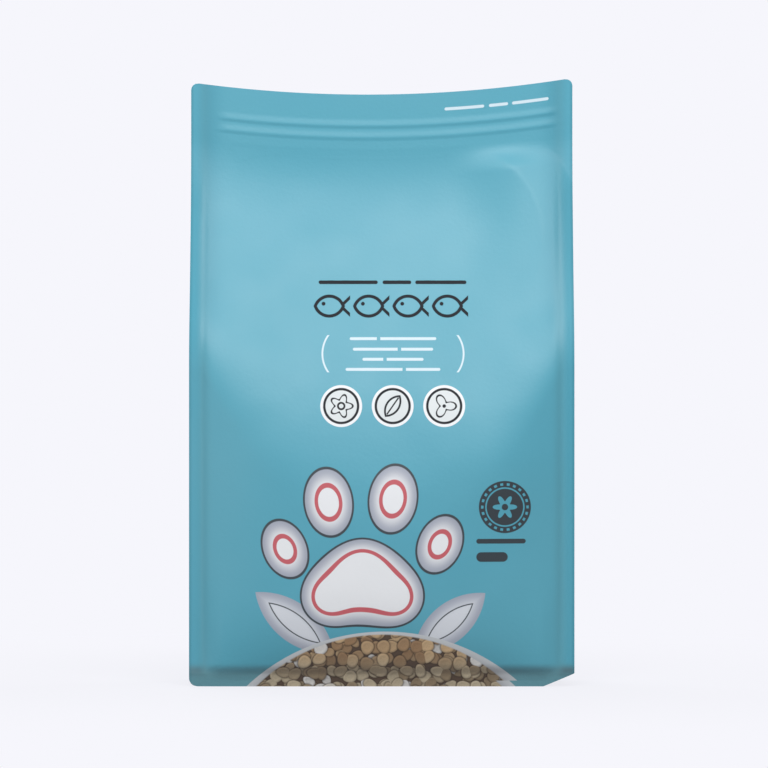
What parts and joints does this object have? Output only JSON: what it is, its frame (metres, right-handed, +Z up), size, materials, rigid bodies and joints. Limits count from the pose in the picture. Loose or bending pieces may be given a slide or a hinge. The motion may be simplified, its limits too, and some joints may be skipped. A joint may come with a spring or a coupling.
{
  "type": "pet food bag",
  "caption": "Sealed flat-bottomed film pouch of dry pet food, filled and standing, with a press-to-close strip under its sagging top edge.",
  "frame": {"origin": "centre of the base on the surface it stands on", "axes": "+Z up along the height, front panel faces -Y, +X to the right of the front panel"},
  "size_m": [0.24, 0.1184, 0.3803],
  "materials": {
    "film": "satin"
  },
  "bodies": {
    "root": {"pouch": "film"}
  },
  "joints": []
}
